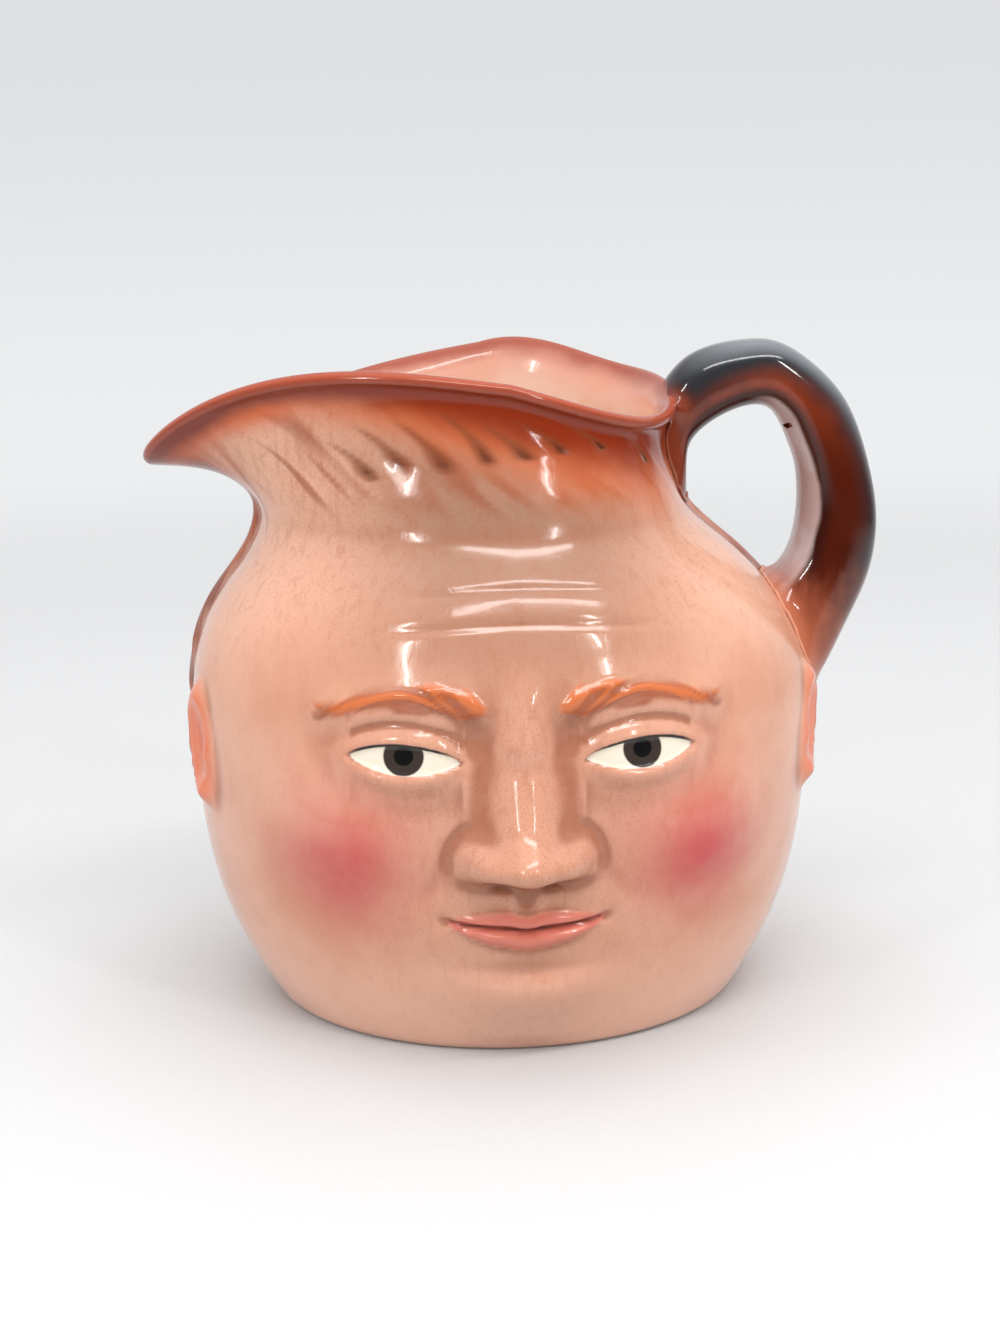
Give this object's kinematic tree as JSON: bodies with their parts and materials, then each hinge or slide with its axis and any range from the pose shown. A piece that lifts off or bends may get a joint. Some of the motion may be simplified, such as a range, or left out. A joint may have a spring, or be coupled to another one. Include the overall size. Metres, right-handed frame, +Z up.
{
  "type": "character jug",
  "caption": "Glazed earthenware jug cast as a calm human head, with a wavy rim drawn out to a pouring lip and a looped handle luted on the other side.",
  "frame": {"origin": "centre of the foot ring, on the surface that the jug stands on", "axes": "+Z up; the face looks along -Y; the pouring lip points along -X and the handle is on the +X side"},
  "size_m": [0.1802, 0.164, 0.1587],
  "materials": {
    "painted_head": "hand-painted flesh and brown washes under a clear high-gloss glaze",
    "dark_handle": "slate black fading to red brown under a clear high-gloss glaze",
    "slip_collar": "red brown under a clear high-gloss glaze"
  },
  "bodies": {
    "root": {"jug_body": "painted_head", "handle": "dark_handle", "upper_lute": "slip_collar", "lower_lute": "slip_collar"}
  },
  "joints": []
}
